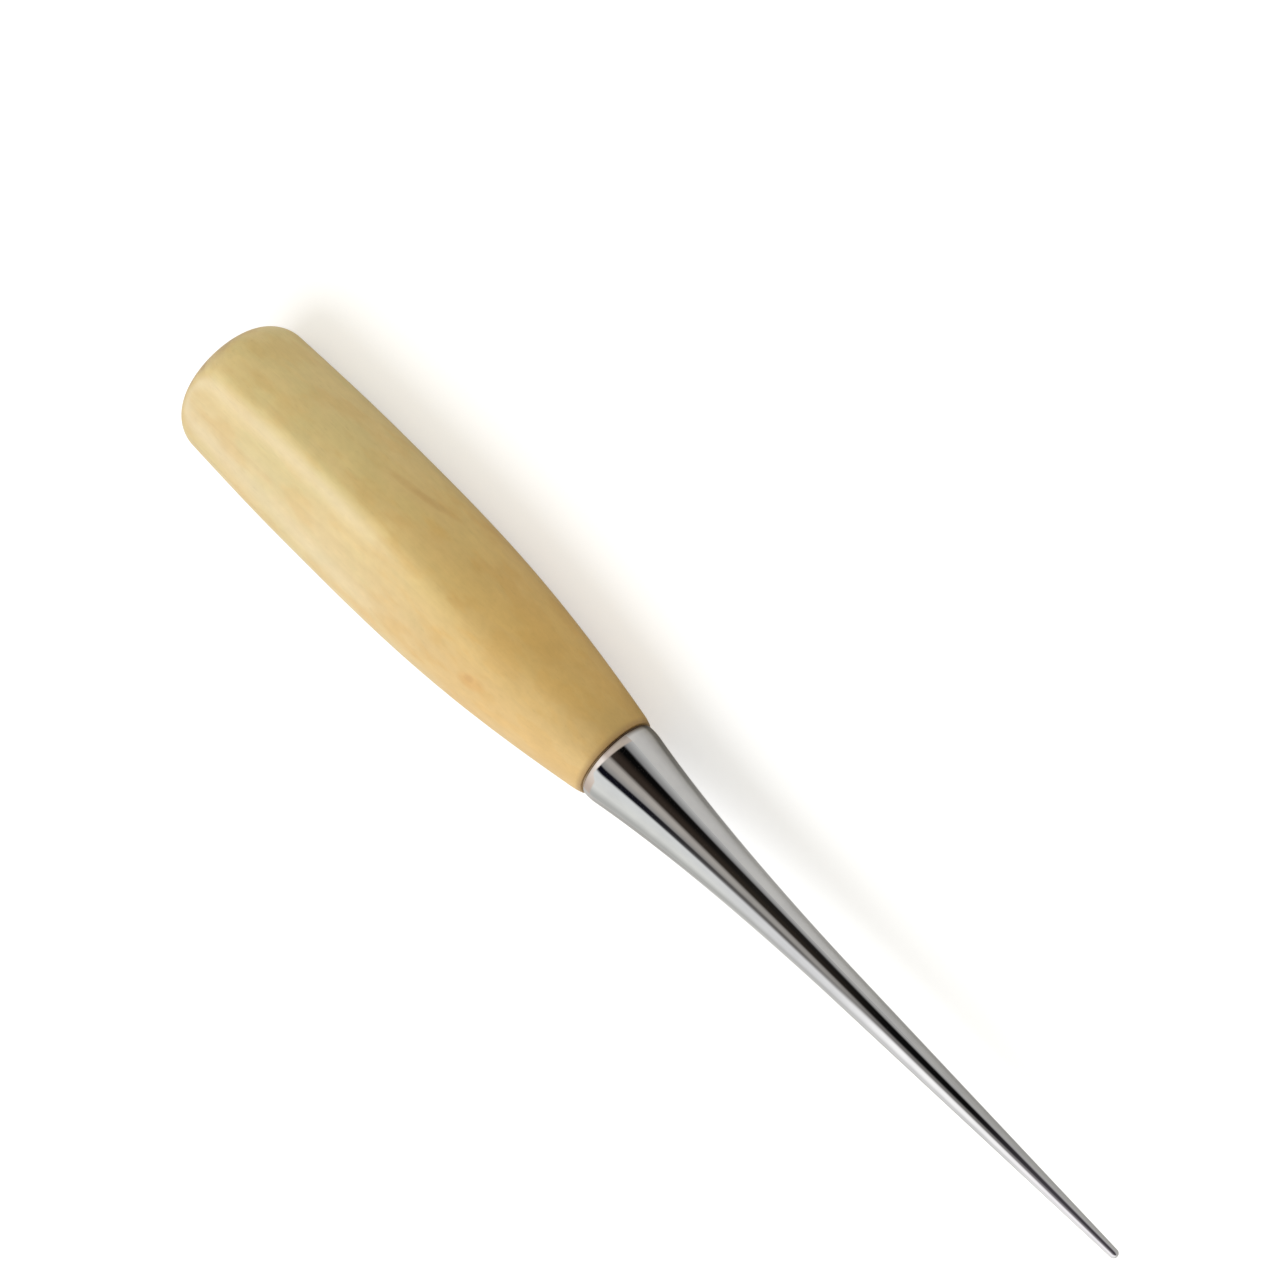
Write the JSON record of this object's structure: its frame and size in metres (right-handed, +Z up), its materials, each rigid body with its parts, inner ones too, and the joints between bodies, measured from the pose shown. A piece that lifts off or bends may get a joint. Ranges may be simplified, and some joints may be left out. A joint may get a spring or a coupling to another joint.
{
  "type": "bradawl",
  "caption": "Hand awl with a barrel-shaped wooden grip, flattened on two sides, and a slender round steel spike that flares to the grip and ends in a blunt point.",
  "frame": {"origin": "on the surface that the tool lies on, under its axis and half way along its overall length", "axes": "+X along the tool's axis towards the point, +Z up out of the upper flat, +Y across"},
  "size_m": [0.16, 0.02, 0.0169],
  "materials": {
    "wood": "pale close-grained hardwood under a satin clear lacquer",
    "plated_steel": "bright plated steel, polished",
    "adhesive": "cured dark brown adhesive"
  },
  "bodies": {
    "root": {"handle": "wood", "spike": "plated_steel", "adhesive": "adhesive"}
  },
  "joints": []
}
